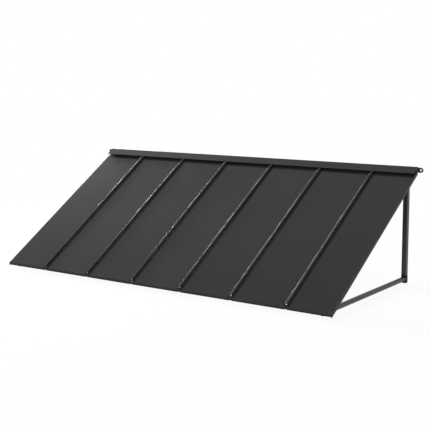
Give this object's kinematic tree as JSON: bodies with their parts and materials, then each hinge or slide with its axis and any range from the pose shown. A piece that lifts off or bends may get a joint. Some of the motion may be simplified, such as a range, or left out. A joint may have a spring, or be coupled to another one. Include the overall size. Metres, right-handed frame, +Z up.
{
  "type": "metal door canopy",
  "caption": "Sloping sheet metal canopy with standing seams on a light tube frame, made to be screwed to the wall above a door.",
  "frame": {"origin": "middle of the roof's width, on the wall face, level with the undersides of the two corner joints", "axes": "+X along the wall to the canopy's right as seen from the front, +Y into the wall, +Z up; the front looks to -Y"},
  "size_m": [2.0932, 0.8928, 0.6001],
  "materials": {
    "roof_paint": "satin black powder coat",
    "frame_paint": "satin black powder coat",
    "black_plastic": "fine matte"
  },
  "bodies": {
    "root": {"pan_1": "roof_paint", "pan_2": "roof_paint", "pan_3": "roof_paint", "pan_4": "roof_paint", "pan_5": "roof_paint", "pan_6": "roof_paint", "pan_7": "roof_paint", "seam_tab_1": "roof_paint", "seam_tab_2": "roof_paint", "seam_tab_3": "roof_paint", "seam_tab_4": "roof_paint", "seam_tab_5": "roof_paint", "seam_tab_6": "roof_paint", "ridge_cap": "roof_paint", "head_rail": "frame_paint", "front_rail": "frame_paint", "mid_purlin": "frame_paint", "left_post": "frame_paint", "left_rafter": "frame_paint", "left_arm": "frame_paint", "right_post": "frame_paint", "right_rafter": "frame_paint", "right_arm": "frame_paint", "left_corner_joint": "black_plastic", "left_arm_plug": "black_plastic", "right_corner_joint": "black_plastic", "right_arm_plug": "black_plastic"}
  },
  "joints": []
}
